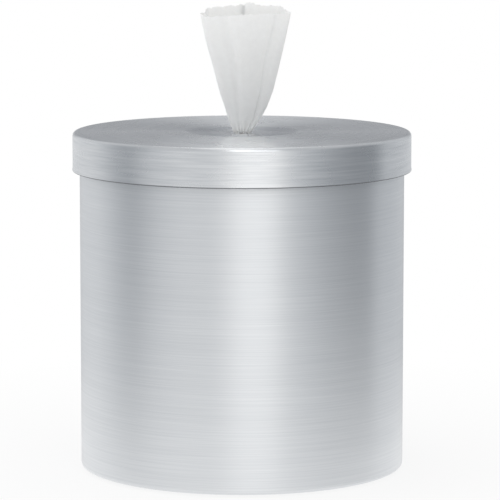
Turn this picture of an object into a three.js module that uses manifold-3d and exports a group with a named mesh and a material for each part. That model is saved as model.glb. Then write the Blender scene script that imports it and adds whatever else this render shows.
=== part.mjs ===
// Countertop wet wipes dispenser: a brushed steel drum with a lift-off lid, a plastic liner, a centre-pull
// roll, and a star-slit nozzle that the gathered web of wipes is pulled through. Millimetres, +Z up.
// The origin is on the surface that the dispenser stands on, under the middle of the drum.
import * as THREE from 'three';
import { mergeVertices } from 'three/addons/utils/BufferGeometryUtils.js';
import Module from 'manifold-3d';

const wasm = await Module();
wasm.setup();

// Overall sizes
const overallHeight = 254;
const lidDiameter = 254;
const steelThickness = 0.8;
const seatGap = 0.3;
const ringSegments = 40;

// Lid cap
const lidSlipGap = 0.9;
const lidEdgeRadius = 3;
const skirtHeight = 29;
const hemHeight = 7;
const dishDiameter = 85;
const dishDepth = 1.2;
const dishStepWidth = 4;
const outletDiameter = 16;
const outletLipRadius = 1.5;
const outletCollarHeight = 3;

// Drum
const footLift = 1.5;
const rimBeadRadius = 1.9;
const baseCornerRadius = 3;
const baseLedgeWidth = 7;
const panFlangeHeight = 8;
const panRimWidth = 32;
const panCrownHeight = 4;

// Feet
const footCount = 4;
const footRadius = 9;
const footInset = 22;
const footStemRadius = 3;
const footBarbRadius = 4.4;
const footBarbHeight = 2.2;
const footSegments = 14;

// Liner bucket
const linerWall = 1.5;
const linerSideGap = 2.4;
const linerDraft = 5.8;
const linerFloorHeight = 9;
const linerCornerRadius = 7;
const linerFlangeThickness = 1.6;
const linerHubHeight = 3;
const linerHubGap = 3.5;

// Inner lid and its seal
const innerLidThickness = 2;
const plugSkirtHeight = 9;
const plugWall = 1.6;
const plugClearance = 0.6;
const sealHeight = 2.4;
const bossRadius = 22;
const bossBoreRadius = 11;
const bossDepth = 5.4;
const ribCount = 6;
const ribThickness = 1.6;
const ribHeight = 5;

// Weld studs and push nuts
const studCount = 3;
const studCircleRadius = 75;
const studRadius = 2;
const studFlangeRadius = 4;
const studFlangeHeight = 1;
const studLength = 9;
const pushNutRadius = 7;
const pushNutThickness = 0.8;
const pushNutDish = 0.8;

// Nozzle
const membraneThickness = 1.5;
const membraneConeRadius = 11;
const membraneConeRise = 3.2;
const membraneTipRadius = 6.2;
const membraneRadius = 20;
const slitCount = 6;
const slitWidth = 0.8;
const retainerThickness = 2.5;
const screwCount = 3;
const screwCircleRadius = 16.5;
const screwRadius = 1.4;
const screwHeadRadius = 2.8;
const screwHeadHeight = 1.6;
const screwBite = 4;
const screwRecessWidth = 0.7;
const screwRecessDepth = 0.8;
const nozzleSegments = 20;
const hardwareSegments = 12;

// Roll of wipes
const rollSideGap = 11;
const rollHeight = 203;
const rollCoreDiameter = 64;
const turnGrooves = 4;
const turnGrooveWidth = 1.6;
const turnGrooveDepth = 1.2;
const rollEdgeRadius = 1.5;

// Web of wipes
const webThickness = 0.9;
const webLobes = 9;
const webPointsPerLobe = 5;
const webNeckRadius = 5.3;
const flareHeight = 87;
const flareLeft = 30.4;
const flareRight = 36.4;
const flareDepth = 17.5;
const flareGather = 2.3;
const flareRiseAtBack = 5;
const tailLength = 176;
const tailRadius = 10;
const tailSwing = 17.5;
const tailSetBack = 8;

// Radii that follow from the lid, which slips over the rim bead of the drum
const lidRadius = lidDiameter / 2;
const hemInside = lidRadius - 2 * steelThickness;
const beadOutside = hemInside - lidSlipGap;
const drumInside = beadOutside - 2 * rimBeadRadius;
const drumRadius = drumInside + steelThickness;
const flangeOutside = beadOutside - seatGap;
const linerTopRadius = drumInside - linerSideGap;
const linerRimInside = linerTopRadius - linerWall;
const linerFloorInside = linerRimInside - linerDraft;
const rollRadius = linerFloorInside - rollSideGap;
const plugOutside = linerRimInside - plugClearance;

// Heights that follow from the stack of parts under the lid
const capUnderside = overallHeight - steelThickness;
const innerLidTop = capUnderside - seatGap;
const innerLidUnderside = innerLidTop - innerLidThickness;
const sealTop = innerLidUnderside - seatGap;
const linerRimTop = sealTop - sealHeight - seatGap;
const drumRimTop = linerRimTop - linerFlangeThickness - seatGap;
const dishUnderside = capUnderside - dishDepth;
const dishedPlateTop = dishUnderside - seatGap;
const dishedPlateUnderside = dishedPlateTop - innerLidThickness;
const bossUnderside = dishedPlateUnderside - bossDepth + innerLidThickness;
const membraneTop = bossUnderside - seatGap;
const retainerTop = membraneTop - membraneThickness - seatGap;
const retainerUnderside = retainerTop - retainerThickness;
const panUnderside = footLift + steelThickness + seatGap;
const rollBottom = linerFloorHeight + linerWall + seatGap;

const steel = new THREE.MeshStandardMaterial({ color: 0xc6cacd, metalness: 0.95, roughness: 0.36 });
const linerPlastic = new THREE.MeshStandardMaterial({ color: 0xdfe1e0, metalness: 0, roughness: 0.5 });
const lidPlastic = new THREE.MeshStandardMaterial({ color: 0xe6e7e5, metalness: 0, roughness: 0.45 });
const rubber = new THREE.MeshStandardMaterial({ color: 0x26282a, metalness: 0, roughness: 0.85 });
const silicone = new THREE.MeshStandardMaterial({ color: 0x9aa0a4, metalness: 0, roughness: 0.6 });
const zinc = new THREE.MeshStandardMaterial({ color: 0xa9adb0, metalness: 0.9, roughness: 0.4 });
const wipe = new THREE.MeshStandardMaterial({ color: 0xf0f1ef, metalness: 0, roughness: 0.9 });

// Points of an arc in the profile plane, from one angle to another in degrees
function arc(centreRadius, centreHeight, radius, from, to, steps) {
  const points = [];
  for (let i = 0; i <= steps; i++) {
    const angle = THREE.MathUtils.degToRad(from + ((to - from) * i) / steps);
    points.push([centreRadius + radius * Math.cos(angle), centreHeight + radius * Math.sin(angle)]);
  }
  return points;
}

// Closed outline of a bent sheet: one face of the sheet, and the other face at the thickness to its right
function sheetOutline(face, thickness) {
  const direction = (a, b) => {
    const length = Math.hypot(b[0] - a[0], b[1] - a[1]);
    return [(b[0] - a[0]) / length, (b[1] - a[1]) / length];
  };
  const other = face.map((point, i) => {
    const before = direction(face[Math.max(i - 1, 0)], face[Math.max(i, 1)]);
    const after = direction(face[Math.min(i, face.length - 2)], face[Math.min(i + 1, face.length - 1)]);
    const mitre = thickness / (1 + before[0] * after[0] + before[1] * after[1]);
    return [point[0] + (before[1] + after[1]) * mitre, point[1] - (before[0] + after[0]) * mitre];
  });
  return [...face, ...other.reverse()];
}

// Solid of revolution about Z from a closed outline of [radius, height] points
function revolve(outline, segments = ringSegments) {
  const area = outline.reduce((sum, a, i) => {
    const b = outline[(i + 1) % outline.length];
    return sum + a[0] * b[1] - b[0] * a[1];
  }, 0);
  const ordered = area > 0 ? outline : [...outline].reverse();
  const points = [...ordered, ordered[0]].map(([r, z]) => new THREE.Vector2(Math.max(r, 0), z));
  return new THREE.LatheGeometry(points, segments).rotateX(Math.PI / 2);
}

// Upright cylinder between two heights
function post(radius, bottom, top, segments = footSegments) {
  const height = top - bottom;
  return new THREE.CylinderGeometry(radius, radius, height, segments)
    .rotateX(Math.PI / 2)
    .translate(0, 0, bottom + height / 2);
}

function block(width, depth, bottom, top) {
  return new THREE.BoxGeometry(width, depth, top - bottom).translate(0, 0, (top + bottom) / 2);
}

function toSolid(geometry) {
  const bare = new THREE.BufferGeometry();
  bare.setAttribute('position', geometry.getAttribute('position'));
  bare.setIndex(geometry.getIndex());
  const merged = mergeVertices(bare, 1e-4);
  const index = merged.getIndex().array;
  const kept = [];
  for (let i = 0; i < index.length; i += 3) {
    const [a, b, c] = [index[i], index[i + 1], index[i + 2]];
    if (a !== b && b !== c && c !== a) kept.push(a, b, c);
  }
  return new wasm.Manifold(new wasm.Mesh({
    numProp: 3,
    vertProperties: new Float32Array(merged.getAttribute('position').array),
    triVerts: new Uint32Array(kept),
  }));
}

function toGeometry(solid) {
  const mesh = solid.getMesh();
  const positions = new Float32Array(mesh.numVert * 3);
  for (let i = 0; i < mesh.numVert; i++) {
    positions.set(mesh.vertProperties.subarray(i * mesh.numProp, i * mesh.numProp + 3), i * 3);
  }
  const geometry = new THREE.BufferGeometry();
  geometry.setAttribute('position', new THREE.BufferAttribute(positions, 3));
  geometry.setIndex(new THREE.BufferAttribute(new Uint32Array(mesh.triVerts), 1));
  geometry.computeVertexNormals();
  return geometry;
}

// A base shape with other shapes joined to it and others cut from it
function shaped(base, { joined = [], cut = [] }) {
  let solid = toSolid(base);
  for (const shape of joined) solid = solid.add(toSolid(shape));
  for (const shape of cut) solid = solid.subtract(toSolid(shape));
  return toGeometry(solid);
}

// Copies of a shape moved out to a circle and turned round the axis
function aroundAxis(makeShape, count, radius, firstAngle = 0) {
  return Array.from({ length: count }, (_, i) =>
    makeShape().translate(radius, 0, 0).rotateZ(firstAngle + (i * 2 * Math.PI) / count));
}

function named(name, geometry, material) {
  const mesh = new THREE.Mesh(geometry, material);
  mesh.name = name;
  return mesh;
}

// Placed copies of one geometry, each its own numbered mesh
function placedCopies(name, geometry, material, count, radius, firstAngle) {
  return Array.from({ length: count }, (_, i) => {
    const angle = firstAngle + (i * 2 * Math.PI) / count;
    const mesh = named(`${name}_${i + 1}`, geometry, material);
    mesh.position.set(radius * Math.cos(angle), radius * Math.sin(angle), 0);
    mesh.rotation.z = angle;
    return mesh;
  });
}

// Rolled sheet wall with an inward foot ledge and an outward curled bead at the rim
function drumShell() {
  const beadCentre = drumInside + rimBeadRadius;
  const beadHeight = drumRimTop - rimBeadRadius;
  const innerCorner = baseCornerRadius - steelThickness;
  const face = [
    [drumRadius - baseCornerRadius - baseLedgeWidth, footLift + steelThickness],
    ...arc(drumRadius - baseCornerRadius, footLift + baseCornerRadius, innerCorner, -90, 0, 2),
    ...arc(beadCentre, beadHeight, rimBeadRadius, 180, -90, 6),
  ];
  return revolve(sheetOutline(face, steelThickness));
}

// Pressed bottom with an upturned flange, a flat rim for the feet and a raised crown
function basePan() {
  const outside = drumInside - seatGap;
  const crownRadius = outside - panRimWidth;
  const bend = baseCornerRadius;
  const face = [
    [0, panUnderside + panCrownHeight + steelThickness],
    [crownRadius - panCrownHeight, panUnderside + panCrownHeight + steelThickness],
    [crownRadius, panUnderside + steelThickness],
    ...arc(outside - bend, panUnderside + bend, bend - steelThickness, -90, 0, 2),
    [outside - steelThickness, panUnderside + panFlangeHeight],
  ];
  const footHole = () => post(footStemRadius + seatGap, 0, linerFloorHeight);
  return shaped(revolve(sheetOutline(face, steelThickness)), {
    cut: aroundAxis(footHole, footCount, drumRadius - footInset, Math.PI / 4),
  });
}

// Push-in bumper: a domed pad, a stem through the pan, and a barb that holds it
function foot() {
  const padTop = panUnderside - seatGap;
  const barbBottom = panUnderside + steelThickness + seatGap;
  return revolve([
    [0, 0],
    [footRadius - 1, 0],
    [footRadius, 1],
    [footRadius, padTop],
    [footStemRadius, padTop],
    [footStemRadius, barbBottom],
    [footBarbRadius, barbBottom],
    [footStemRadius - 0.6, barbBottom + footBarbHeight],
    [0, barbBottom + footBarbHeight],
  ], footSegments);
}

// Tapered tub that hangs in the drum by its rim flange, with a raised hub that centres the roll's core
function linerBucket() {
  const cornerCentre = linerFloorInside - linerCornerRadius;
  const flangeUnderside = linerRimTop - linerFlangeThickness;
  const floorTop = linerFloorHeight + linerWall;
  const outerCorner = linerCornerRadius + linerWall;
  const hubFoot = rollCoreDiameter / 2 - linerHubGap;
  const hubRim = hubFoot - linerHubHeight;
  return revolve([
    [0, linerFloorHeight + linerHubHeight],
    [hubRim - linerWall / 2, linerFloorHeight + linerHubHeight],
    [hubFoot - linerWall / 2, linerFloorHeight],
    ...arc(cornerCentre, floorTop + linerCornerRadius, outerCorner, -90, 0, 3),
    [linerTopRadius, flangeUnderside],
    [flangeOutside, flangeUnderside],
    [flangeOutside, linerRimTop],
    [linerRimInside, linerRimTop],
    ...arc(cornerCentre, floorTop + linerCornerRadius, linerCornerRadius, 0, -90, 3),
    [hubFoot, floorTop],
    [hubRim, floorTop + linerHubHeight],
    [0, floorTop + linerHubHeight],
  ]);
}

// Centre-pull roll: one solid whose ends show the wound turns as rings
function wipeRoll() {
  const inside = rollCoreDiameter / 2;
  const top = rollBottom + rollHeight;
  const pitch = (rollRadius - inside) / (turnGrooves + 1);
  const turns = [];
  for (let i = turnGrooves; i >= 1; i--) {
    const groove = inside + i * pitch;
    turns.push([groove + turnGrooveWidth / 2, top]);
    turns.push([groove, top - turnGrooveDepth]);
    turns.push([groove - turnGrooveWidth / 2, top]);
  }
  return revolve([
    [inside, rollBottom],
    [rollRadius - rollEdgeRadius, rollBottom],
    [rollRadius, rollBottom + rollEdgeRadius],
    [rollRadius, top - rollEdgeRadius],
    [rollRadius - rollEdgeRadius, top],
    ...turns,
    [inside + rollEdgeRadius, top],
    [inside, top - rollEdgeRadius],
  ]);
}

// Pressed cap: rolled outlet collar, shallow dish, flat top, rounded edge and a skirt with a closed hem
function lidCap() {
  const dishRadius = dishDiameter / 2;
  const collarRadius = outletDiameter / 2;
  const dishTop = overallHeight - dishDepth;
  const skirtBottom = overallHeight - skirtHeight;
  const face = [
    [collarRadius, dishTop - outletLipRadius - outletCollarHeight],
    ...arc(collarRadius + outletLipRadius, dishTop - outletLipRadius, outletLipRadius, 180, 90, 3),
    [dishRadius - dishStepWidth, dishTop],
    [dishRadius, overallHeight],
    ...arc(lidRadius - lidEdgeRadius, overallHeight - lidEdgeRadius, lidEdgeRadius, 90, 0, 3),
    [lidRadius, skirtBottom + steelThickness / 2],
  ];
  const hem = [
    [lidRadius - steelThickness / 2, skirtBottom],
    [hemInside + steelThickness / 2, skirtBottom],
    [hemInside, skirtBottom + steelThickness / 2],
    [hemInside, skirtBottom + hemHeight],
    [lidRadius - steelThickness, skirtBottom + hemHeight],
  ];
  const outline = sheetOutline(face, steelThickness);
  outline.splice(face.length, 1, ...hem);
  return revolve(outline);
}

// Moulded plate under the cap: plug skirt, seal seat, stud holes, stiffening ribs and a nozzle boss
function innerLid() {
  const plugBottom = innerLidUnderside - plugSkirtHeight;
  const rimOutside = hemInside - 2 * seatGap;
  const dishClear = dishDiameter / 2 + 2 * seatGap;
  const plate = revolve([
    [bossBoreRadius, bossUnderside],
    [bossRadius, bossUnderside],
    [bossRadius, dishedPlateUnderside],
    [dishClear + innerLidThickness, dishedPlateUnderside],
    [dishClear + 2 * innerLidThickness, innerLidUnderside],
    [plugOutside - plugWall, innerLidUnderside],
    [plugOutside - plugWall, plugBottom],
    [plugOutside, plugBottom],
    [plugOutside, innerLidUnderside],
    [rimOutside, innerLidUnderside],
    [rimOutside, innerLidTop],
    [dishClear + innerLidThickness, innerLidTop],
    [dishClear, dishedPlateTop],
    [bossBoreRadius, dishedPlateTop],
  ]);
  const ribStart = bossRadius - plugWall;
  const ribEnd = plugOutside - plugWall / 2;
  const ribLength = ribEnd - ribStart;
  const ribTop = (dishedPlateTop + innerLidUnderside) / 2;
  const rib = () => block(ribLength, ribThickness, innerLidUnderside - ribHeight, ribTop)
    .translate(ribStart + ribLength / 2, 0, 0);
  const studHole = () =>
    post(studFlangeRadius + 2 * seatGap, dishedPlateUnderside, overallHeight, hardwareSegments);
  const pilotTop = bossUnderside + screwBite + 1;
  const pilotHole = () => post(screwRadius + seatGap, bossUnderside - 1, pilotTop, hardwareSegments);
  return shaped(plate, {
    joined: aroundAxis(rib, ribCount, 0, Math.PI / 6),
    cut: [
      ...aroundAxis(studHole, studCount, studCircleRadius),
      ...aroundAxis(pilotHole, screwCount, screwCircleRadius),
    ],
  });
}

// Soft ring between the inner lid and the rim of the liner
function lidSeal() {
  const inside = plugOutside + 2 * seatGap;
  const outside = flangeOutside;
  const bottom = sealTop - sealHeight;
  const shoulder = sealHeight / 3;
  return revolve([
    [inside, bottom + shoulder],
    [inside + shoulder, bottom],
    [outside - shoulder, bottom],
    [outside, bottom + shoulder],
    [outside, sealTop],
    [inside, sealTop],
  ]);
}

// Flexible disc with a raised cone, split by slits that grip the web of wipes
function starMembrane() {
  const coneTop = membraneTop + membraneConeRise;
  const disc = revolve([
    [membraneConeRadius - 1, membraneTop - membraneThickness],
    [membraneRadius, membraneTop - membraneThickness],
    [membraneRadius, membraneTop],
    [membraneConeRadius - 1, membraneTop],
    [membraneTipRadius + 0.4, coneTop],
    [membraneTipRadius, coneTop - 0.6],
    [membraneConeRadius - 2.6, membraneTop - membraneThickness],
  ], nozzleSegments);
  const slitLength = membraneConeRadius - 1;
  const slit = () => block(slitLength, slitWidth, membraneTop - 2 * membraneThickness, coneTop + 1)
    .translate(slitLength / 2, 0, 0);
  const screwHole = () => post(screwRadius + seatGap, retainerUnderside, bossUnderside, hardwareSegments);
  return shaped(disc, {
    cut: [
      ...aroundAxis(slit, slitCount, 0, Math.PI / 6),
      ...aroundAxis(screwHole, screwCount, screwCircleRadius),
    ],
  });
}

// Ring that clamps the membrane against the boss
function nozzleRetainer() {
  const bevel = 0.8;
  const ring = revolve([
    [bossBoreRadius + bevel, retainerUnderside],
    [bossRadius - bevel, retainerUnderside],
    [bossRadius, retainerUnderside + bevel],
    [bossRadius, retainerTop],
    [bossBoreRadius, retainerTop],
    [bossBoreRadius, retainerUnderside + bevel],
  ], nozzleSegments);
  const screwHole = () =>
    post(screwRadius + seatGap, retainerUnderside - 1, retainerTop + 1, hardwareSegments);
  return shaped(ring, { cut: aroundAxis(screwHole, screwCount, screwCircleRadius) });
}

// Pan-head screw with a cross recess, driven upwards into the boss
function nozzleScrew() {
  const headTop = retainerUnderside - seatGap;
  const headBottom = headTop - screwHeadHeight;
  const body = revolve([
    [0, headBottom],
    [screwHeadRadius - 0.8, headBottom],
    [screwHeadRadius, headBottom + 0.8],
    [screwHeadRadius, headTop],
    [screwRadius, headTop],
    [screwRadius, bossUnderside + screwBite - screwRadius],
    [0, bossUnderside + screwBite],
  ], hardwareSegments);
  const recessTop = headBottom + screwRecessDepth;
  const recess = (turn) =>
    block(1.2 * screwHeadRadius, screwRecessWidth, headBottom - 1, recessTop).rotateZ(turn);
  return shaped(body, { cut: [recess(0), recess(Math.PI / 2)] });
}

// Stud welded to the underside of the cap by its flange
function weldStud() {
  const top = capUnderside - seatGap;
  return revolve([
    [0, top - studLength],
    [studRadius - 0.5, top - studLength],
    [studRadius, top - studLength + 0.5],
    [studRadius, top - studFlangeHeight],
    [studFlangeRadius, top - studFlangeHeight],
    [studFlangeRadius, top],
    [0, top],
  ], hardwareSegments);
}

// Dished spring washer that is pushed on the stud and bears on the inner lid
function pushNut() {
  const top = innerLidUnderside - seatGap;
  const bore = studRadius + seatGap;
  const flat = pushNutRadius - 2;
  return revolve([
    [bore, top - pushNutDish - pushNutThickness],
    [flat, top - pushNutThickness],
    [pushNutRadius, top - pushNutThickness],
    [pushNutRadius, top],
    [flat, top],
    [bore, top - pushNutDish],
  ], hardwareSegments);
}

// Shape of the flare over the lid. Each station gives its share of the flare's height, and how far it has
// opened to the left, to the right and in depth, from 0 at the neck to 1 at the rim
const flareShape = [
  { up: -0.046, left: 0, right: 0, depth: 0 },
  { up: 0, left: 0.036, right: 0.064, depth: 0.074 },
  { up: 0.103, left: 0.16, right: 0.248, depth: 0.238 },
  { up: 0.207, left: 0.26, right: 0.408, depth: 0.426 },
  { up: 0.356, left: 0.43, right: 0.563, depth: 0.631 },
  { up: 0.575, left: 0.62, right: 0.707, depth: 0.795 },
  { up: 0.782, left: 0.825, right: 0.865, depth: 0.918 },
  { up: 1, left: 1, right: 1, depth: 1 },
];

// Shape of the tail in the roll, from its end up to the neck: share of its length, swing to the side, and
// swelling
const tailShape = [
  { up: 0, swing: 1, swell: 1 },
  { up: 0.3, swing: 0.92, swell: 1 },
  { up: 0.57, swing: 0.7, swell: 1 },
  { up: 0.8, swing: 0.23, swell: 0.68 },
  { up: 0.93, swing: 0, swell: 0.2 },
  { up: 1, swing: 0, swell: 0 },
];

// One closed loop of the web's section, with lobes that stand for the gathers
function webLoop(station, inset) {
  const count = webLobes * webPointsPerLobe;
  const loop = [];
  for (let i = 0; i < count; i++) {
    const angle = (i * 2 * Math.PI) / count;
    const side = Math.cos(angle);
    const reach = side < 0 ? station.left : station.right;
    const lobe = station.lobe * (Math.cos(webLobes * angle) - 1) / 2;
    const across = (reach - inset + lobe) * side;
    const deep = (station.depth - inset + lobe) * Math.sin(angle);
    const backShare = (1 + Math.sin(angle)) / 2;
    const height = station.height + (station.rise ?? 0) * backShare;
    loop.push(new THREE.Vector3(station.x + across, station.y + deep, height));
  }
  return loop;
}

// Closed surface through a stack of loops, capped at the first and the last
function loft(loops) {
  const count = loops[0].length;
  const positions = loops.flat().flatMap((point) => [point.x, point.y, point.z]);
  const index = [];
  for (let row = 0; row + 1 < loops.length; row++) {
    for (let i = 0; i < count; i++) {
      const next = (i + 1) % count;
      const [a, b] = [row * count + i, row * count + next];
      const [c, d] = [a + count, b + count];
      index.push(a, b, d, a, d, c);
    }
  }
  for (const [row, turned] of [[0, true], [loops.length - 1, false]]) {
    const sum = loops[row].reduce((total, point) => total.add(point), new THREE.Vector3());
    const centre = sum.divideScalar(count);
    const hub = positions.length / 3;
    positions.push(centre.x, centre.y, centre.z);
    for (let i = 0; i < count; i++) {
      const [a, b] = [row * count + i, row * count + ((i + 1) % count)];
      index.push(...(turned ? [b, a, hub] : [a, b, hub]));
    }
  }
  const geometry = new THREE.BufferGeometry();
  geometry.setAttribute('position', new THREE.Float32BufferAttribute(positions, 3));
  geometry.setIndex(index);
  return geometry;
}

// Web of wipes: a gathered tail from the roll, the neck in the nozzle, and the open flare above the lid
function wipeWeb() {
  const opened = (full, share) => webNeckRadius + (full - webNeckRadius) * share;
  const tailTop = retainerUnderside;
  const tail = tailShape.map((s) => {
    const radius = opened(tailRadius, s.swell);
    return {
      height: tailTop - tailLength * (1 - s.up),
      x: -tailSwing * s.swing,
      y: tailSetBack * s.swing,
      left: radius,
      right: radius,
      depth: radius,
      lobe: radius / 8,
    };
  });
  const flare = flareShape.map((s) => ({
    height: overallHeight + flareHeight * s.up,
    x: 0,
    y: 0,
    left: opened(flareLeft, s.left),
    right: opened(flareRight, s.right),
    depth: opened(flareDepth, s.depth),
    lobe: flareGather * (0.3 + 0.7 * Math.max(s.up, 0)),
    rise: flareRiseAtBack * Math.max(s.up, 0),
  }));
  const outer = [...tail, ...flare].map((station) => webLoop(station, 0));
  const inner = flare.slice(2).reverse().map((station) => webLoop(station, webThickness));
  return loft([...outer, ...inner]);
}

const drum = new THREE.Group();
drum.add(named('drum_shell', drumShell(), steel));
drum.add(named('base_pan', basePan(), steel));
drum.add(named('liner_bucket', linerBucket(), linerPlastic));
drum.add(named('wipe_roll', wipeRoll(), wipe));
drum.add(...placedCopies('foot', foot(), rubber, footCount, drumRadius - footInset, Math.PI / 4));

const lid = new THREE.Group();
lid.add(named('lid_cap', lidCap(), steel));
lid.add(named('inner_lid', innerLid(), lidPlastic));
lid.add(named('lid_seal', lidSeal(), silicone));
lid.add(named('star_membrane', starMembrane(), silicone));
lid.add(named('nozzle_retainer', nozzleRetainer(), lidPlastic));
lid.add(...placedCopies('nozzle_screw', nozzleScrew(), zinc, screwCount, screwCircleRadius, 0));
lid.add(...placedCopies('weld_stud', weldStud(), zinc, studCount, studCircleRadius, 0));
lid.add(...placedCopies('push_nut', pushNut(), zinc, studCount, studCircleRadius, 0));
lid.add(named('wipe_web', wipeWeb(), wipe));

const dispenser = new THREE.Group();
dispenser.add(drum, lid);

export default dispenser;
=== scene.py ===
import math

import bpy
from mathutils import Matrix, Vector, noise


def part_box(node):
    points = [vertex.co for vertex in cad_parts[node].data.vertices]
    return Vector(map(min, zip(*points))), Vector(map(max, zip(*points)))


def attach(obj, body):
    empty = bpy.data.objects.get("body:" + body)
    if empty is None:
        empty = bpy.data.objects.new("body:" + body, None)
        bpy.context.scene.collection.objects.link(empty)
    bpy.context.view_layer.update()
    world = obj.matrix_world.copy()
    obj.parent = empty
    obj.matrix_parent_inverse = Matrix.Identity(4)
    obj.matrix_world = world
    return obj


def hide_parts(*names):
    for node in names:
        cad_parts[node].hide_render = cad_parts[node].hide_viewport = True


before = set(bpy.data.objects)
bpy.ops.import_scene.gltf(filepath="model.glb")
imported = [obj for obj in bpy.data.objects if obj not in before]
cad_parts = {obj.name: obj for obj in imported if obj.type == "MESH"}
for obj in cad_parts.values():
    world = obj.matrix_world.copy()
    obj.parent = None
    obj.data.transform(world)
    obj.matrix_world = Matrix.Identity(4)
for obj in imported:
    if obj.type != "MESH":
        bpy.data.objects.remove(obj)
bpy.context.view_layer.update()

MM = 0.001
# Segments of a turned piece, where a piece doesn't ask for its own number.
RING = 192
SHEET = 0.8 * MM
LID_RADIUS = 127 * MM
DISH_DEPTH = 1.2 * MM
STUD_CIRCLE = 75 * MM
SCREW_CIRCLE = 16.5 * MM
SCREW_HOLE = 1.7 * MM
FOOT_CIRCLE = 99.5 * MM


def heights_of(node):
    """Lowest and highest point of a CAD node."""
    low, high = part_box(node)
    return low.z, high.z


# Modelling helpers.


def only(piece):
    """Makes one piece the selected and active object."""
    bpy.ops.object.select_all(action="DESELECT")
    piece.select_set(True)
    bpy.context.view_layer.objects.active = piece


def turned(name, profile, segments=RING, disc=False, tip=False, ring=False):
    """Extrudes a circle from point to point of a profile of (radius, height)."""
    radius, height = profile[0]
    bpy.ops.object.select_all(action="DESELECT")
    bpy.ops.mesh.primitive_circle_add(
        vertices=segments, radius=radius, fill_type="TRIFAN" if disc else "NOTHING",
        location=(0, 0, height),
    )
    piece = bpy.context.object
    piece.name = piece.data.name = name
    bpy.ops.object.transform_apply(location=True, rotation=False, scale=False)
    bpy.ops.object.mode_set(mode="EDIT")
    bpy.ops.mesh.select_mode(type="EDGE")
    bpy.ops.mesh.select_all(action="SELECT")
    if disc:
        bpy.ops.mesh.region_to_loop()
    for next_radius, next_height in profile[1:]:
        bpy.ops.mesh.extrude_edges_move(
            TRANSFORM_OT_translate={"value": (0, 0, next_height - height)}
        )
        share = next_radius / radius
        bpy.ops.transform.resize(value=(share, share, 1), center_override=(0, 0, next_height))
        radius, height = next_radius, next_height
    if tip:
        bpy.ops.mesh.edge_face_add()
        bpy.ops.mesh.poke()
    if ring:
        bpy.ops.mesh.select_all(action="DESELECT")
        bpy.ops.mesh.select_non_manifold()
        bpy.ops.mesh.bridge_edge_loops()
    bpy.ops.mesh.select_all(action="SELECT")
    bpy.ops.mesh.remove_doubles(threshold=1e-6)
    bpy.ops.mesh.normals_make_consistent(inside=False)
    bpy.ops.object.mode_set(mode="OBJECT")
    return piece


def face_towards(piece, out, up):
    """Turns an open shell's faces the way that out (from the axis) and up ask for."""
    total = 0.0
    for face in piece.data.polygons:
        away = Vector((face.center.x, face.center.y, 0))
        side = away.normalized().dot(face.normal) if away.length > 0 else 0
        total += face.area * (side * out + face.normal.z * up)
    if total < 0:
        only(piece)
        bpy.ops.object.mode_set(mode="EDIT")
        bpy.ops.mesh.select_all(action="SELECT")
        bpy.ops.mesh.flip_normals()
        bpy.ops.object.mode_set(mode="OBJECT")
    return piece


def apply_modifier(piece, kind, **settings):
    """Adds one modifier with its settings and applies it."""
    only(piece)
    modifier = piece.modifiers.new(kind.title(), kind)
    for key, value in settings.items():
        setattr(modifier, key, value)
    bpy.ops.object.modifier_apply(modifier=modifier.name)
    return piece


def thickened(piece, thickness, even=True):
    """Gives a shell its wall, behind the faces it shows."""
    return apply_modifier(piece, "SOLIDIFY", thickness=thickness, offset=-1, use_even_offset=even)


def softened(piece, width, segments=2, angle=40):
    """Rounds the piece's crisp edges, as pressing or moulding leaves them."""
    apply_modifier(
        piece, "BEVEL", width=width, segments=segments, limit_method="ANGLE",
        angle_limit=math.radians(angle), use_clamp_overlap=True,
    )
    only(piece)
    bpy.ops.object.shade_smooth_by_angle(angle=math.radians(42))
    return piece


def carved(piece, cutter):
    """Cuts the cutter's shape out of the piece and removes the cutter."""
    apply_modifier(piece, "BOOLEAN", object=cutter, operation="DIFFERENCE", solver="EXACT")
    bpy.data.objects.remove(cutter)


def welded(piece, added):
    """Joins another closed shape to the piece as one body."""
    apply_modifier(piece, "BOOLEAN", object=added, operation="UNION", solver="EXACT")
    bpy.data.objects.remove(added)


def arc(radius, height, size, start, end, steps):
    """Points of an arc in the profile plane, in degrees."""
    points = []
    for i in range(steps + 1):
        angle = math.radians(start + (end - start) * i / steps)
        points.append((radius + size * math.cos(angle), height + size * math.sin(angle)))
    return points


def copies_around(piece, base_name, count, radius, first_angle=0.0):
    """Numbered copies of a piece on a circle round the axis, each with its own mesh."""
    made = []
    for i in range(count):
        angle = first_angle + i * 2 * math.pi / count
        only(piece)
        bpy.ops.object.duplicate(linked=False)
        copy = bpy.context.object
        copy.name = copy.data.name = f"{base_name}_{i + 1}_shown"
        copy.location = (radius * math.cos(angle), radius * math.sin(angle), 0)
        copy.rotation_euler.z = angle
        bpy.ops.object.transform_apply(location=True, rotation=True, scale=True)
        made.append(copy)
    bpy.data.objects.remove(piece)
    return made


def posts_around(count, radius, size, bottom, top):
    """Upright cylinders on a circle round the axis, as one shape."""
    bpy.ops.object.select_all(action="DESELECT")
    made = []
    for i in range(count):
        angle = i * 2 * math.pi / count
        bpy.ops.mesh.primitive_cylinder_add(
            vertices=32, radius=size, depth=top - bottom,
            location=(radius * math.cos(angle), radius * math.sin(angle), (top + bottom) / 2),
        )
        made.append(bpy.context.object)
    return joined_up(made)


def bars_around(count, start, end, width, bottom, top, first_angle=0.0):
    """Upright bars that run out from the axis, as one shape."""
    made = []
    middle = (start + end) / 2
    for i in range(count):
        angle = first_angle + i * 2 * math.pi / count
        bpy.ops.object.select_all(action="DESELECT")
        bpy.ops.mesh.primitive_cube_add(
            size=1, scale=(end - start, width, top - bottom), rotation=(0, 0, angle),
            location=(middle * math.cos(angle), middle * math.sin(angle), (top + bottom) / 2),
        )
        made.append(bpy.context.object)
    return joined_up(made)


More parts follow.
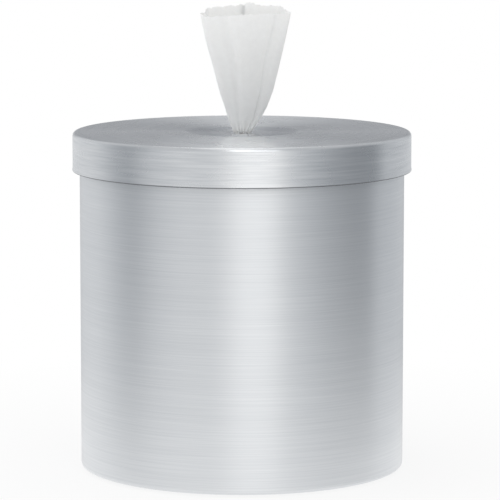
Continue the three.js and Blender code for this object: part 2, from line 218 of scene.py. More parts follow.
def joined_up(pieces):
    """Makes several objects one, with its place in its mesh."""
    only(pieces[0])
    for piece in pieces[1:]:
        piece.select_set(True)
    if len(pieces) > 1:
        bpy.ops.object.join()
    bpy.ops.object.transform_apply(location=True, rotation=True, scale=True)
    return bpy.context.object


def fitted(piece, body, material, node):
    """Dresses a finished piece, hangs it on its body and puts it in the place of its CAD node."""
    piece.data.materials.clear()
    piece.data.materials.append(material)
    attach(piece, body)
    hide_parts(node)


# Node helpers.


class Nodes:
    """Short calls for adding and linking the nodes of one tree."""

    def __init__(self, tree):
        self.tree = tree

    def add(self, kind, **settings):
        node = self.tree.nodes.new(kind)
        for key, value in settings.items():
            setattr(node, key, value)
        return node

    def link(self, source, target):
        self.tree.links.new(source, target)

    def math(self, operation, a, b=None):
        node = self.add("ShaderNodeMath", operation=operation)
        for socket, value in zip(node.inputs, (a, b)):
            if isinstance(value, (int, float)):
                socket.default_value = value
            elif value is not None:
                self.link(value, socket)
        return node.outputs[0]

    def noise(self, vector, scale, detail=3, roughness=0.55):
        node = self.add("ShaderNodeTexNoise")
        node.inputs["Scale"].default_value = scale
        node.inputs["Detail"].default_value = detail
        node.inputs["Roughness"].default_value = roughness
        self.link(vector, node.inputs["Vector"])
        return node.outputs["Fac"]

    def range(self, value, low, high, new_low, new_high):
        node = self.add("ShaderNodeMapRange")
        for name, number in (
            ("From Min", low), ("From Max", high), ("To Min", new_low), ("To Max", new_high)
        ):
            node.inputs[name].default_value = number
        self.link(value, node.inputs["Value"])
        return node.outputs["Result"]

    def mix_colour(self, factor, a, b):
        node = self.add("ShaderNodeMix", data_type="RGBA")
        self.link(factor, node.inputs["Factor"])
        node.inputs[6].default_value = (*a, 1)
        node.inputs[7].default_value = (*b, 1)
        return node.outputs[2]

    def mix_shader(self, factor, a, b):
        node = self.add("ShaderNodeMixShader")
        for socket, source in zip(node.inputs, (factor, a, b)):
            self.link(source, socket)
        return node.outputs[0]


def new_group(name, inputs, outputs):
    """An empty shader group with named sockets. A Vector default makes a vector socket."""
    group = bpy.data.node_groups.new(name, "ShaderNodeTree")
    for label, value in inputs.items():
        kind = "NodeSocketFloat" if isinstance(value, (int, float)) else "NodeSocketVector"
        socket = group.interface.new_socket(name=label, in_out="INPUT", socket_type=kind)
        if kind == "NodeSocketFloat":
            socket.default_value = value
    for label in outputs:
        group.interface.new_socket(name=label, in_out="OUTPUT", socket_type="NodeSocketFloat")
    nodes = Nodes(group)
    return group, nodes, nodes.add("NodeGroupInput"), nodes.add("NodeGroupOutput")


def brushing_group():
    """Fine lines that run round the axis, on walls and on flat rings alike."""
    group, n, source, result = new_group(
        "Brushing round the axis",
        {"Position": (0, 0, 0), "Lines": 2600.0, "Length": 5.0},
        ["Lines", "Bands"],
    )
    split = n.add("ShaderNodeSeparateXYZ")
    n.link(source.outputs["Position"], split.inputs[0])
    x, y, z = split.outputs
    radius = n.math("SQRT", n.math("ADD", n.math("MULTIPLY", x, x), n.math("MULTIPLY", y, y)))
    safe = n.math("MAXIMUM", radius, 0.001)
    along_x = n.math("MULTIPLY", n.math("DIVIDE", x, safe), source.outputs["Length"])
    along_y = n.math("MULTIPLY", n.math("DIVIDE", y, safe), source.outputs["Length"])
    across = n.math("MULTIPLY", n.math("ADD", z, radius), source.outputs["Lines"])
    wide = n.math("MULTIPLY", across, 0.08)
    for label, run, detail in (("Lines", across, 4), ("Bands", wide, 2)):
        place = n.add("ShaderNodeCombineXYZ")
        n.link(along_x, place.inputs[0])
        n.link(along_y, place.inputs[1])
        n.link(run, place.inputs[2])
        n.link(n.noise(place.outputs[0], 1.0, detail), result.inputs[label])
    return group


def grain_group():
    """Moulded or cast surface: a slow unevenness of colour and a fine grain."""
    group, n, source, result = new_group(
        "Moulded grain",
        {"Position": (0, 0, 0), "Grain size": 900.0, "Patch size": 30.0},
        ["Grain", "Patches"],
    )
    for label, size in (("Grain", "Grain size"), ("Patches", "Patch size")):
        texture = n.add("ShaderNodeTexNoise")
        texture.inputs["Detail"].default_value = 3
        n.link(source.outputs["Position"], texture.inputs["Vector"])
        n.link(source.outputs[size], texture.inputs["Scale"])
        n.link(texture.outputs["Fac"], result.inputs[label])
    return group


BRUSHING = brushing_group()
GRAIN = grain_group()


def placed_group(n, group, values):
    """A group in a material, fed with Object coordinates and its own values."""
    place = n.add("ShaderNodeTexCoord")
    node = n.add("ShaderNodeGroup", node_tree=group)
    n.link(place.outputs["Object"], node.inputs["Position"])
    for label, value in values.items():
        node.inputs[label].default_value = value
    return node


def new_material(name, **sockets):
    """A material with a Principled shader whose plain sockets are set."""
    material = bpy.data.materials.new(name)
    material.use_nodes = True
    shader = material.node_tree.nodes["Principled BSDF"]
    for label, value in sockets.items():
        shader.inputs[label.replace("_", " ")].default_value = value
    return material, Nodes(material.node_tree), shader


def bumped(n, shader, height, strength, distance):
    """Feeds a height into the shader's normal."""
    bump = n.add("ShaderNodeBump")
    bump.inputs["Strength"].default_value = strength
    bump.inputs["Distance"].default_value = distance
    n.link(height, bump.inputs["Height"])
    n.link(bump.outputs["Normal"], shader.inputs["Normal"])


def ring_mask(n, inside, outside, soft):
    """1 on a ring round the axis, fading within it over the soft width at both edges."""
    place = n.add("ShaderNodeTexCoord")
    flat = n.add("ShaderNodeMapping")
    flat.inputs["Scale"].default_value = (1, 1, 0)
    n.link(place.outputs["Object"], flat.inputs["Vector"])
    radius = n.add("ShaderNodeVectorMath", operation="LENGTH")
    n.link(flat.outputs["Vector"], radius.inputs[0])
    reach = radius.outputs["Value"]
    rising = n.range(reach, inside, inside + soft, 0, 1)
    falling = n.range(reach, outside - soft, outside, 1, 0)
    return n.math("MULTIPLY", rising, falling)


def below(n, height, soft):
    """1 under a height, fading to 0 at it."""
    place = n.add("ShaderNodeTexCoord")
    split = n.add("ShaderNodeSeparateXYZ")
    n.link(place.outputs["Object"], split.inputs[0])
    return n.range(split.outputs["Z"], height - soft, height, 1, 0)


def toned(n, mask, colour, tone):
    """The colour, changed to the tone where the mask is 1."""
    mixed = n.add("ShaderNodeMix", data_type="RGBA")
    n.link(mask, mixed.inputs["Factor"])
    n.link(colour, mixed.inputs[6])
    mixed.inputs[7].default_value = (*tone, 1)
    return mixed.outputs[2]


def brushed_steel(name, dark, light, roughness, coarseness, relief, streaks, dark_dish_and_painted_shade=False):
    """Stainless sheet brushed round the axis. On the lid the dish is toned darker, and the inside
    of the skirt and the underside of the hem carry painted shade.
    """
    material, n, shader = new_material(
        name, Metallic=1.0, Anisotropic=0.88, Anisotropic_Rotation=0.25
    )
    fine = placed_group(n, BRUSHING, {"Lines": 2400.0, "Length": 1.6})
    coarse = placed_group(n, BRUSHING, {"Lines": streaks[0], "Length": streaks[1]})
    tangent = n.add("ShaderNodeTangent", direction_type="RADIAL", axis="Z")
    n.link(tangent.outputs[0], shader.inputs["Tangent"])
    lines = n.math("ADD", n.math("MULTIPLY", fine.outputs["Lines"], 1 - coarseness),
                   n.math("MULTIPLY", coarse.outputs["Lines"], coarseness))
    shade = n.range(lines, 0.3, 0.7, 0, 1)
    colour = n.mix_colour(shade, dark, light)
    if dark_dish_and_painted_shade:
        # The dish, from 20 to 44 mm out, is toned darker.
        dish = ring_mask(n, 20 * MM, 44 * MM, 6 * MM)
        colour = toned(n, dish, colour, (0.62, 0.64, 0.665))
        # Painted shade: the inside of the skirt, under the lid, is toned dark.
        within = ring_mask(n, 20 * MM, 126.6 * MM, 0.3 * MM)
        inside = n.math("MULTIPLY", within, below(n, 251.5 * MM, 1 * MM))
        colour = toned(n, inside, colour, (0.34, 0.35, 0.36))
        # Painted shade: the underside of the hem is toned near black, as a dark shadow line under
        # the skirt.
        edge = below(n, heights_of("lid_cap")[0] + 0.85 * MM, 0.3 * MM)
        colour = toned(n, edge, colour, (0.14, 0.145, 0.155))
    n.link(colour, shader.inputs["Base Color"])
    spread = n.range(coarse.outputs["Bands"], 0.3, 0.7, roughness + 0.02, roughness - 0.02)
    n.link(spread, shader.inputs["Roughness"])
    bumped(n, shader, lines, relief, 0.0001)
    return material


def moulded_plastic(name, dark, light, roughness, grain_size=900.0):
    """Moulded plastic with a faint grain and uneven whiteness."""
    material, n, shader = new_material(name, IOR=1.49)
    grain = placed_group(n, GRAIN, {"Grain size": grain_size, "Patch size": 28.0})
    n.link(n.mix_colour(grain.outputs["Patches"], dark, light), shader.inputs["Base Color"])
    spread = n.range(grain.outputs["Grain"], 0.3, 0.7, roughness - 0.06, roughness + 0.06)
    n.link(spread, shader.inputs["Roughness"])
    bumped(n, shader, grain.outputs["Grain"], 0.15, 0.0002)
    return material


def zinc_plate():
    """Zinc-plated steel: bluish grey with a cloudy, slightly dull finish."""
    material, n, shader = new_material("zinc plate", Metallic=1.0)
    grain = placed_group(n, GRAIN, {"Grain size": 2600.0, "Patch size": 420.0})
    colour = n.mix_colour(grain.outputs["Patches"], (0.42, 0.44, 0.47), (0.62, 0.63, 0.64))
    n.link(colour, shader.inputs["Base Color"])
    n.link(n.range(grain.outputs["Grain"], 0.3, 0.7, 0.28, 0.44), shader.inputs["Roughness"])
    bumped(n, shader, grain.outputs["Grain"], 0.1, 0.0001)
    return material


def nonwoven():
    """Damp nonwoven cloth: matted fibres, thick and thin places and a crepe along its length."""
    material, n, shader = new_material(
        "nonwoven wipe", Roughness=0.85, Subsurface_Weight=0.6, Subsurface_Scale=0.003,
        Sheen_Weight=0.15,
    )
    shader.inputs["Subsurface Radius"].default_value = (1.0, 0.95, 0.9)
    place = n.add("ShaderNodeTexCoord")
    source = place.outputs["Object"]
    fibres = n.noise(source, 1500.0, 4, 0.7)
    clumps = n.noise(source, 260.0, 3, 0.6)
    mixed = n.math("ADD", n.math("MULTIPLY", fibres, 0.5), n.math("MULTIPLY", clumps, 0.5))
    crepe = n.add("ShaderNodeTexWave", wave_type="BANDS", bands_direction="X")
    stretch = n.add("ShaderNodeMapping")
    stretch.inputs["Scale"].default_value = (1.0, 0.12, 1.0)
    n.link(place.outputs["UV"], stretch.inputs["Vector"])
    n.link(stretch.outputs["Vector"], crepe.inputs["Vector"])
    crepe.inputs["Scale"].default_value = 34.0
    crepe.inputs["Distortion"].default_value = 3.0
    crepe.inputs["Detail"].default_value = 2.0
    height = n.math("ADD", mixed, n.math("MULTIPLY", crepe.outputs["Fac"], 0.12))
    shade = n.range(mixed, 0.35, 0.65, 0, 1)
    colour = n.mix_colour(shade, (0.905, 0.91, 0.9), (0.95, 0.955, 0.945))
    n.link(colour, shader.inputs["Base Color"])
    bumped(n, shader, height, 0.22, 0.0003)
    return material


def wound_cloth():
    """Edges of the wound web: fine rings round the axis on the ends, cloth on the outside."""
    material, n, shader = new_material("wound cloth", Roughness=0.9, Sheen_Weight=0.1)
    grain = placed_group(n, BRUSHING, {"Lines": 1500.0, "Length": 3.0})
    fuzz = placed_group(n, GRAIN, {"Grain size": 1300.0, "Patch size": 90.0})
    mixed = n.math("ADD", n.math("MULTIPLY", grain.outputs["Lines"], 0.7),
                   n.math("MULTIPLY", fuzz.outputs["Grain"], 0.3))
    shade = n.range(mixed, 0.35, 0.62, 0, 1)
    colour = n.mix_colour(shade, (0.62, 0.63, 0.61), (0.86, 0.865, 0.85))
    n.link(colour, shader.inputs["Base Color"])
    bumped(n, shader, mixed, 0.5, 0.0006)
    return material


DRUM_STEEL = brushed_steel(
    "brushed drum steel", (0.715, 0.735, 0.755), (0.825, 0.84, 0.855),
    roughness=0.38, coarseness=0.3, relief=0.06, streaks=(800.0, 0.9),
)
LID_STEEL = brushed_steel(
    "brushed lid steel", (0.66, 0.68, 0.70), (0.87, 0.88, 0.89),
    roughness=0.28, coarseness=0.6, relief=0.6, streaks=(520.0, 3.0), dark_dish_and_painted_shade=True,
)
LINER = moulded_plastic("liner polyethylene", (0.74, 0.75, 0.75), (0.82, 0.825, 0.82), 0.42)
LID_PLASTIC = moulded_plastic("lid polypropylene", (0.78, 0.785, 0.78), (0.85, 0.855, 0.85), 0.38)
SILICONE = moulded_plastic("grey silicone", (0.30, 0.32, 0.34), (0.38, 0.40, 0.42), 0.62, 1600.0)
RUBBER = moulded_plastic("black rubber", (0.018, 0.018, 0.02), (0.035, 0.035, 0.037), 0.72, 1400.0)
ZINC = zinc_plate()
WIPE = nonwoven()
ROLL = wound_cloth()


# Steel drum and its pan.


def drum_shell():
    """Rolled wall with an inward foot ledge and a rim curled outward into a bead."""
    foot, top = heights_of("drum_shell")
    wall = 120.7 * MM
    bead = 1.9 * MM
    face = [
        (111.5 * MM, foot + SHEET),
        *arc(118.5 * MM, foot + 3 * MM, 2.2 * MM, -90, 0, 8),
        *arc(wall + bead, top - bead, bead, 180, -90, 22),
    ]
    shell = face_towards(turned("drum_shell_shown", face), -1, 0)
    softened(thickened(shell, SHEET), 0.15 * MM, 1, 60)
    fitted(shell, "drum", DRUM_STEEL, "drum_shell")


def base_pan():
    """Pressed bottom: an upturned flange, a flat rim for the feet and a raised crown."""
    bottom = heights_of("base_pan")[0] + SHEET
    face = [
        (4 * MM, bottom + 4 * MM),
        (84 * MM, bottom + 4 * MM),
        (85.6 * MM, bottom + 3.5 * MM),
        (87.6 * MM, bottom + 0.5 * MM),
        (89 * MM, bottom),
        *arc(117.4 * MM, bottom + 2.2 * MM, 2.2 * MM, -90, 0, 6),
        (119.6 * MM, bottom + 7.2 * MM),
    ]
    pan = face_towards(turned("base_pan_shown", face, disc=True), 0, 1)
    softened(thickened(pan, SHEET), 0.2 * MM)
    fitted(pan, "drum", DRUM_STEEL, "base_pan")


def feet():
    """Push-in rubber bumpers with a rounded pad, a stem and a barb."""
    pad_top = 2.3 * MM
    profile = [
        (7.2 * MM, 0.0),
        *arc(8 * MM, 1 * MM, 1 * MM, -90, 0, 5),
        (9 * MM, pad_top),
        (3 * MM, pad_top),
        (3 * MM, 3.7 * MM),
        (4.4 * MM, 3.7 * MM),
        (2.4 * MM, 5.9 * MM),
        (0.6 * MM, 5.9 * MM),
    ]
    foot = softened(turned("foot", profile, 48, disc=True, tip=True), 0.25 * MM)
    for i, copy in enumerate(copies_around(foot, "foot", 4, FOOT_CIRCLE, math.pi / 4)):
        fitted(copy, "drum", RUBBER, f"foot_{i + 1}")


# Liner and roll.


def liner_bucket():
    """Tapered tub that hangs in the drum by its rim flange. Its raised hub is a guess."""
    rim = heights_of("liner_bucket")[1]
    floor = 10.5 * MM
    face = [
        (4 * MM, floor + 3 * MM),
        (25.5 * MM, floor + 3 * MM),
        (28.5 * MM, floor),
        (70 * MM, floor),
        *arc(104 * MM, floor + 7 * MM, 7 * MM, -90, 0, 8),
        (116.1 * MM, rim - 2 * MM),
        (116.5 * MM, rim - 0.5 * MM),
        (117.2 * MM, rim),
        (124.2 * MM, rim),
    ]
    tub = face_towards(turned("liner_bucket_shown", face, disc=True), -1, 1)
    softened(thickened(tub, 1.5 * MM), 0.35 * MM)
    fitted(tub, "drum", LINER, "liner_bucket")


def wipe_roll():
    """Centre-pull roll: the ends show the wound turns, a little uneven from turn to turn."""
    bottom, top = heights_of("wipe_roll")
    inside, outside = 32 * MM, 100 * MM
    profile = [(inside, bottom + 1 * MM), (inside + 1 * MM, bottom)]
    profile += [(outside - 1.5 * MM, bottom), (outside, bottom + 1.5 * MM)]
    profile += [(outside, top - 2 * MM), (outside - 1 * MM, top - 0.6 * MM)]
    turns = 68
    for i in range(1, turns):
        radius = outside - 1 * MM - (outside - inside - 2 * MM) * i / turns
        rise = noise.noise(Vector((i * 0.37, 2.1, 5.3)))
        fine = 0.35 * MM if i % 2 else 0.0
        profile.append((radius, top - 0.9 * MM + 0.7 * MM * rise - fine))
    profile += [(inside + 1 * MM, top - 0.8 * MM), (inside, top - 2 * MM)]
    roll = turned("wipe_roll_shown", profile, 128, ring=True)
    only(roll)
    bpy.ops.object.shade_smooth_by_angle(angle=math.radians(60))
    fitted(roll, "drum", ROLL, "wipe_roll")


# Lid and what it carries.


def lid_cap():
    """Pressed cap: rolled outlet collar, shallow dish, rounded edge and a hemmed skirt."""
    bottom, top = heights_of("lid_cap")
    dish = top - DISH_DEPTH
    hem = 0.85 * MM
    face = [
        (8 * MM, dish - 4.5 * MM),
        *arc(9.5 * MM, dish - 1.5 * MM, 1.5 * MM, 180, 90, 8),
        (12 * MM, dish),
        (28 * MM, dish + 0.1 * MM),
        (36 * MM, dish + 0.35 * MM),
        (40 * MM, top - 0.5 * MM),
        (42.6 * MM, top - 0.12 * MM),
        (43.4 * MM, top),
        (80 * MM, top),
        *arc(123.7 * MM, top - 3 * MM, 3 * MM, 90, 0, 12),
        (126.7 * MM, bottom + 2.6 * MM),
        (126.8 * MM, bottom + 1.8 * MM),
        *arc(LID_RADIUS - hem, bottom + hem, hem, 15, -180, 12),
        (LID_RADIUS - 2 * hem, bottom + 7 * MM),
    ]
    cap = face_towards(turned("lid_cap_shown", face, 256), 1, 1)
    softened(thickened(cap, SHEET), 0.12 * MM, 1, 60)
    fitted(cap, "lid", LID_STEEL, "lid_cap")


def inner_lid():
    """Moulded plate: plug skirt, stiffening ribs, stud holes and the nozzle boss."""
    top = heights_of("inner_lid")[1]
    wall = 2 * MM
    under = top - wall
    dished = top - DISH_DEPTH
    dished_under = dished - wall
    boss = dished_under - 3.4 * MM
    plug = under - 9 * MM
    profile = [
        (11 * MM, boss), (22 * MM, boss), (22 * MM, dished_under),
        (45.1 * MM, dished_under), (47.1 * MM, under),
        (114.6 * MM, under), (114.8 * MM, plug), (116 * MM, plug), (116.2 * MM, under),
        (124.8 * MM, under), (124.8 * MM, top),
        (45.1 * MM, top), (43.1 * MM, dished), (11 * MM, dished),
    ]
    plate = turned("inner_lid_shown", profile, 160, ring=True)
    ribs = bars_around(
        6, 20.5 * MM, 115.4 * MM, 1.6 * MM, under - 5 * MM, under + 0.4 * MM, math.pi / 6
    )
    welded(plate, ribs)
    carved(plate, posts_around(3, STUD_CIRCLE, 4.6 * MM, under - 2 * MM, top + 1 * MM))
    carved(plate, posts_around(3, SCREW_CIRCLE, SCREW_HOLE, boss - 1 * MM, boss + 5 * MM))
    softened(plate, 0.25 * MM)
    fitted(plate, "lid", LID_PLASTIC, "inner_lid")


def lid_seal():
    """Soft ring that the lid presses on the rim of the liner."""
    bottom, top = heights_of("lid_seal")
    profile = [
        (116.8 * MM, bottom + 0.8 * MM), (117.6 * MM, bottom), (123.4 * MM, bottom),
        (124.2 * MM, bottom + 0.8 * MM), (124.2 * MM, top), (116.8 * MM, top),
    ]
    seal = softened(turned("lid_seal_shown", profile, ring=True), 0.3 * MM)
    fitted(seal, "lid", SILICONE, "lid_seal")


def star_membrane():
    """Flexible disc whose raised cone is slit into petals round the wipe."""
    under, cone = heights_of("star_membrane")
    top = under + 1.5 * MM
    profile = [
        (10 * MM, under), (20 * MM, under), (20 * MM, top), (10.4 * MM, top),
        (9.6 * MM, top + 0.5 * MM), (6.6 * MM, cone), (6.2 * MM, cone - 0.6 * MM),
        (8.2 * MM, top - 1.2 * MM),
    ]
    disc = turned("star_membrane_shown", profile, 96, ring=True)
    slits = bars_around(
        6, 3 * MM, 10 * MM, 0.8 * MM, under - 1 * MM, cone + 1 * MM, math.pi / 6
    )
    carved(disc, slits)
    carved(disc, posts_around(3, SCREW_CIRCLE, SCREW_HOLE, under - 1 * MM, top + 1 * MM))
    softened(disc, 0.15 * MM)
    fitted(disc, "lid", SILICONE, "star_membrane")


def nozzle_retainer():
    """Ring that clamps the membrane against the boss."""
    bottom, top = heights_of("nozzle_retainer")
    profile = [
        (11.8 * MM, bottom), (21.2 * MM, bottom), (22 * MM, bottom + 0.8 * MM),
        (22 * MM, top), (11 * MM, top), (11 * MM, bottom + 0.8 * MM),
    ]
    ring = turned("nozzle_retainer_shown", profile, 96, ring=True)
    carved(ring, posts_around(3, SCREW_CIRCLE, SCREW_HOLE, bottom - 1 * MM, top + 1 * MM))
    softened(ring, 0.2 * MM)
    fitted(ring, "lid", LID_PLASTIC, "nozzle_retainer")


def nozzle_screws():
    """Pan-head screws with a cross recess, driven upwards into the boss."""
    low, high = heights_of("nozzle_screw_1")
    head = low + 1.6 * MM
    profile = [
        (1.6 * MM, low), (2.2 * MM, low + 0.2 * MM), (2.7 * MM, low + 0.8 * MM),
        (2.8 * MM, head), (1.4 * MM, head), (1.4 * MM, high - 1.4 * MM), (0.3 * MM, high),
    ]
    screw = turned("nozzle_screw", profile, 32, disc=True, tip=True)
    # Each bar of the cross is cut by itself, because crossing bars make no clean cutter.
    for turn in (0, math.pi / 2):
        bar = bars_around(
            1, -1.6 * MM, 1.6 * MM, 0.7 * MM, low - 1 * MM, low + 0.8 * MM, turn
        )
        carved(screw, bar)
    softened(screw, 0.08 * MM)
    for i, copy in enumerate(copies_around(screw, "nozzle_screw", 3, SCREW_CIRCLE)):
        fitted(copy, "lid", ZINC, f"nozzle_screw_{i + 1}")


def weld_studs():
    """Flanged studs under the cap, with a pointed lead."""
    low, high = heights_of("weld_stud_1")
    profile = [
        (1.2 * MM, low), (1.5 * MM, low), (2 * MM, low + 0.5 * MM), (2 * MM, high - 1 * MM),
        (4 * MM, high - 1 * MM), (4 * MM, high), (0.5 * MM, high),
    ]
    stud = softened(turned("weld_stud", profile, 32, disc=True, tip=True), 0.12 * MM)
    for i, copy in enumerate(copies_around(stud, "weld_stud", 3, STUD_CIRCLE)):
        fitted(copy, "lid", ZINC, f"weld_stud_{i + 1}")


def push_nuts():
    """Dished spring washers pushed on the studs."""
    low, high = heights_of("push_nut_1")
    profile = [
        (2.3 * MM, low), (5 * MM, low + 0.8 * MM), (7 * MM, low + 0.8 * MM),
        (7 * MM, high), (5 * MM, high), (2.3 * MM, high - 0.8 * MM),
    ]
    nut = softened(turned("push_nut", profile, 40, ring=True), 0.12 * MM)
    for i, copy in enumerate(copies_around(nut, "push_nut", 3, STUD_CIRCLE)):
        fitted(copy, "lid", ZINC, f"push_nut_{i + 1}")


# The gathered web of wipes.

LID_TOP = heights_of("lid_cap")[1] / MM
# Height over the lid, reach to the left and right, half depth of the section, in millimetres.
FLARE = [
    (-14, 5.0, 5.0, 5.0), (-4, 5.2, 5.4, 5.3), (0, 6.6, 7.8, 6.1), (9, 10.6, 14.2, 8.2),
    (18, 13.3, 19.2, 10.5), (31, 17.9, 24.2, 13.0), (50, 22.9, 29.0, 15.0),
    (68, 28.4, 33.4, 16.5), (88, 32.8, 37.9, 17.5),
]
# Height over the floor, centre and radius of the tail in the roll, in millimetres.
TAIL = [
    (70, -17.5, 8.0, 9.6), (120, -16, 7.5, 9.6), (165, -12, 6.0, 9.6), (205, -4, 2.5, 8.1),
    (228, 0, 0, 5.9), (240, 0, 0, 5.0),
]
NOZZLE = FLARE[0][0]
WEB_HEIGHT = FLARE[-1][0]
TAIL_END = TAIL[0][0]
PLEATS = 17
LOOSE_FOLDS = 7


def between(rows, value):
    """The row of a table at a value of its first column, eased between its neighbours."""
    if value <= rows[0][0]:
        return rows[0][1:]
    for low, high in zip(rows, rows[1:]):
        if value <= high[0]:
            share = (value - low[0]) / (high[0] - low[0])
            return tuple(a + (b - a) * share for a, b in zip(low[1:], high[1:]))
    return rows[-1][1:]


def web_section(height):
    """Centre, left, right and depth of the web at a height over the floor, in millimetres."""
    over = height - LID_TOP
    if over > NOZZLE:
        left, right, depth = between(FLARE, over)
        return 0.0, 0.0, left, right, depth
    x, y, radius = between(TAIL, height)
    return x, y, radius, radius, radius


def swell(value, low, high):
    """0 below low, 1 above high, and a smooth step between them."""
    share = min(max((value - low) / (high - low), 0), 1)
    return share * share * (3 - 2 * share)


def dent(angle, place, width):
    """1 at a place round the web, fading to both sides."""
    turn = (angle - place + math.pi) % (2 * math.pi) - math.pi
    return math.exp(-((turn / width) ** 2))


def web_folds(across, angle, over):
    """How far the cloth is drawn in towards the axis, as a share of its reach."""
    back = swell(math.sin(angle), -0.35, 0.5)
    open_share = swell(over, -2, 60)
    fading = 1 - swell(over, -6, 15 + 50 * back)
    phase = 2 * math.pi * PLEATS * across + 1.6 * math.sin(4 * angle + 0.03 * over)
    depth = 0.74 - 0.44 * (1 - back) * swell(over, -6, 2) - 0.2 * swell(-over, 20, 60)
    fine = depth * fading ** 1.5 * (0.5 - 0.5 * math.cos(phase))
    wide = 2 * math.pi * LOOSE_FOLDS * across + 0.8 * math.sin(3 * angle + 0.02 * over)
    slack = (0.16 + 0.2 * (1 - open_share)) * back * swell(over, 0, 20)
    loose = slack * (0.5 - 0.5 * math.cos(wide))
    left = 0.12 * dent(angle, -1.8 - 0.17 * swell(over, 40, WEB_HEIGHT), 0.16)
    fold_depth = 0.15 - 0.06 * swell(over, 45, WEB_HEIGHT)
    right_place = -0.79 + 0.11 * swell(over, 50, WEB_HEIGHT)
    right = fold_depth * dent(angle, right_place, 0.1 + 0.0008 * over)
    pinch = 0.13 * dent(angle, -0.8, 0.05) * swell(over, 2, 8) * (1 - swell(over, 18, 27))
    ripple = 0.018 * math.sin(6 * angle + 1.1) + 0.012 * math.sin(11 * angle + 0.02 * over)
    return fine + loose + pinch + (left + right + ripple + 0.02) * swell(over, -2, 16)


def web_point(across, height):
    """Where a point of the web lies: across is 0 to 1 over its width, height is in millimetres."""
    x, y, left, right, depth = web_section(height)
    over = height - LID_TOP
    lap = 0.12 * swell(over, 0, 60)
    angle = -math.pi / 2 + (2 * math.pi + lap) * (across - 0.5)
    side, deep = math.cos(angle), math.sin(angle)
    # The first edge lies under the last one where they lap.
    under_lap = 0.06 * max(0, 0.05 - across) / 0.05
    share = 1 - web_folds(across, angle, over) - under_lap
    reach = left if side < 0 else right
    # The torn edge stands higher at the back and lower on the left.
    rise = (5.4 * swell(deep, -0.7, 1) - 2.2 * max(-side, 0)) * max(over, 0) / WEB_HEIGHT
    return Vector((
        (x + reach * side * share) * MM, (y + depth * deep * share) * MM, (height + rise) * MM
    ))


def wipe_web():
    """One sheet of nonwoven cloth, pleated tight in the nozzle and open above it."""
    columns, rows = 300, 160
    bpy.ops.object.select_all(action="DESELECT")
    bpy.ops.mesh.primitive_grid_add(x_subdivisions=columns, y_subdivisions=rows, size=2)
    web = bpy.context.object
    web.name = web.data.name = "wipe_web_shown"
    for vertex in web.data.vertices:
        across = (vertex.co.x + 1) / 2
        along = (vertex.co.y + 1) / 2
        top = LID_TOP + WEB_HEIGHT + 1.1 * noise.noise(Vector((across * 46, 3.7, 0)))
        # A tab that the perforation left standing.
        top += 1.4 * swell(across, 0.938, 0.947) * (1 - swell(across, 0.972, 0.981))
        top += 0.8 * noise.noise(Vector((across * 150, 8.1, 0)))
        vertex.co = web_point(across, TAIL_END + (top - TAIL_END) * along)
    face_towards(web, 1, 0)
    thickened(web, 0.45 * MM, even=False)
    only(web)
    bpy.ops.object.shade_smooth_by_angle(angle=math.radians(60))
    fitted(web, "lid", WIPE, "wipe_web")


# Studio.


def floor():
    """Pale floor that reads as white round the object and keeps its shadow."""
    bpy.ops.object.select_all(action="DESELECT")
    bpy.ops.mesh.primitive_circle_add(
        vertices=96, radius=0.75, fill_type="NGON", location=(0, 0, -0.0002)
    )
    disc = bpy.context.object
    disc.name = "floor"
    material = bpy.data.materials.new("studio floor")
    material.use_nodes = True
    n = Nodes(material.node_tree)
    material.node_tree.nodes.clear()
    matt = n.add("ShaderNodeBsdfDiffuse")
    matt.inputs["Color"].default_value = (0.9, 0.9, 0.9, 1)
    white = n.add("ShaderNodeEmission")
    clear = n.add("ShaderNodeBsdfTransparent")
    path = n.add("ShaderNodeLightPath")
    place = n.add("ShaderNodeTexCoord")
    distance = n.add("ShaderNodeVectorMath", operation="LENGTH")
    n.link(place.outputs["Object"], distance.inputs[0])
    far = n.range(distance.outputs["Value"], 0.14, 0.5, 0.8, 1.0)
    pale = n.math("MULTIPLY", far, path.outputs["Is Camera Ray"])
    seen = n.mix_shader(pale, matt.outputs[0], white.outputs[0])
    gone = n.range(distance.outputs["Value"], 0.2, 0.6, 0.0, 1.0)
    fading = n.mix_shader(gone, white.outputs[0], clear.outputs[0])
    out = n.add("ShaderNodeOutputMaterial")
    n.link(n.mix_shader(path.outputs["Is Glossy Ray"], seen, fading), out.inputs["Surface"])
    disc.data.materials.append(material)


def studio_bands(n, x, y):
    """Levels of the softboxes and of the dark gaps between them, by the bearing they lie on."""
    turn = n.math("ARCTAN2", x, n.math("MULTIPLY", y, -1))
    bands = n.add("ShaderNodeValToRGB")
    n.link(n.range(turn, -math.pi, math.pi, 0, 1), bands.inputs["Fac"])
    ramp = bands.color_ramp
    stops = [
        (0, 0.74), (0.095, 0.74), (0.155, 0.75), (0.2, 0.63), (0.24, 0.46), (0.272, 0.41),
        (0.33, 0.64), (0.383, 0.75), (0.44, 0.73), (0.465, 0.83), (0.49, 0.97), (0.51, 1.04),
        (0.54, 1.06), (0.565, 0.97), (0.585, 0.78), (0.602, 0.66), (0.64, 0.5), (0.68, 0.37),
        (0.735, 0.29), (0.78, 0.3), (0.815, 0.54), (0.87, 0.59), (1, 0.7),
    ]
    for i, (at, level) in enumerate(stops):
        element = ramp.elements[i] if i < 2 else ramp.elements.new(at)
        element.position = at
        cool = 0.09 * max(0, 0.9 - level)
        element.color = (level * (1 - cool), level, level * (1 + 1.3 * cool), 1)
    return bands.outputs["Color"]


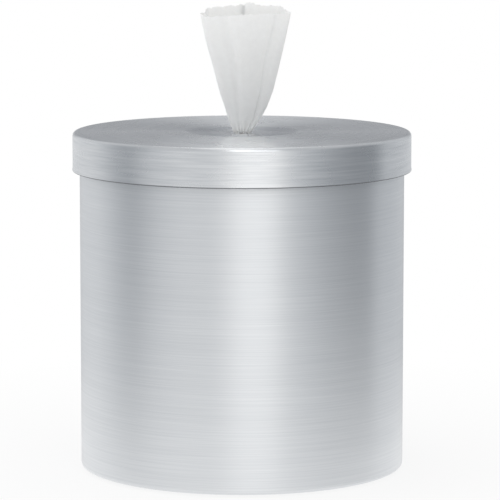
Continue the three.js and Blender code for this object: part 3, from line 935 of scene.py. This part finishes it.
def studio_world():
    """White to the camera, plain light on matt surfaces, and a banded studio in the steel."""
    world = bpy.data.worlds.new("studio")
    bpy.context.scene.world = world
    world.use_nodes = True
    n = Nodes(world.node_tree)
    world.node_tree.nodes.clear()
    place = n.add("ShaderNodeTexCoord")
    split = n.add("ShaderNodeSeparateXYZ")
    n.link(place.outputs["Generated"], split.inputs[0])
    x, y, z = split.outputs
    off_centre = n.math("ABSOLUTE", x)
    lit = n.mix_colour(n.range(y, 0.1, 0.4, 0, 1), (1.08, 1.08, 1.08), (1.35, 1.35, 1.35))
    strip = toned(n, n.range(off_centre, 0.04, 0.3, 0, 1), lit, (0.6, 0.61, 0.625))
    overhead = n.add("ShaderNodeMix", data_type="RGBA")
    n.link(n.range(z, 0.4, 0.7, 0, 1), overhead.inputs["Factor"])
    n.link(studio_bands(n, x, y), overhead.inputs[6])
    n.link(strip, overhead.inputs[7])
    low = n.math("MULTIPLY", n.range(z, -0.03, 0.1, 0, 1), n.range(z, 0.5, 0.7, 1, 0))
    back = n.math("MULTIPLY", n.range(y, 0.1, 0.5, 0, 1), n.range(off_centre, 0.25, 0.5, 1, 0))
    dim_wall = n.math("MULTIPLY", low, back)
    mirrored = n.add("ShaderNodeBackground")
    n.link(toned(n, dim_wall, overhead.outputs[2], (0.365, 0.375, 0.395)),
           mirrored.inputs["Color"])
    plain = n.add("ShaderNodeBackground")
    side = n.mix_colour(n.range(x, -0.7, 0.7, 0, 1), (1.08, 1.08, 1.08), (0.76, 0.76, 0.76))
    n.link(side, plain.inputs["Color"])
    backdrop = n.add("ShaderNodeBackground")
    backdrop.inputs["Color"].default_value = (1, 1, 1, 1)
    path = n.add("ShaderNodeLightPath")
    direct = n.math("LESS_THAN", path.outputs["Diffuse Depth"], 0.5)
    in_steel = n.math("MULTIPLY", path.outputs["Is Glossy Ray"], direct)
    lighting = n.mix_shader(in_steel, plain.outputs[0], mirrored.outputs[0])
    seen = n.math("MAXIMUM", path.outputs["Is Camera Ray"], path.outputs["Is Transmission Ray"])
    out = n.add("ShaderNodeOutputWorld")
    n.link(n.mix_shader(seen, lighting, backdrop.outputs[0]), out.inputs["Surface"])


def softbox(name, place, target, size, power):
    """Square area lamp that looks at a point."""
    data = bpy.data.lights.new(name, "AREA")
    data.energy = power
    data.size = size
    lamp = bpy.data.objects.new(name, data)
    bpy.context.scene.collection.objects.link(lamp)
    lamp.location = place
    lamp.rotation_euler = (Vector(target) - Vector(place)).to_track_quat("-Z", "Y").to_euler()


def camera():
    """Long lens from the front, a little above, as the outline of the photograph gives it."""
    data = bpy.data.cameras.new("camera")
    data.sensor_width = 36
    data.lens = 234.8
    data.shift_x = 0.0161
    data.clip_end = 50
    eye = bpy.data.objects.new("camera", data)
    bpy.context.scene.collection.objects.link(eye)
    eye.location = (0, -2.430, 0.494)
    eye.rotation_euler = (math.radians(90 - 7.732), 0, 0)
    bpy.context.scene.camera = eye


drum_shell()
base_pan()
feet()
liner_bucket()
wipe_roll()
lid_cap()
inner_lid()
lid_seal()
star_membrane()
nozzle_retainer()
nozzle_screws()
weld_studs()
push_nuts()
wipe_web()
floor()
studio_world()
softbox("key softbox", (0.3, -1.8, 1.75), (0, 0, 0.25), 1.2, 4)
camera()
bpy.context.scene.view_settings.view_transform = "Standard"
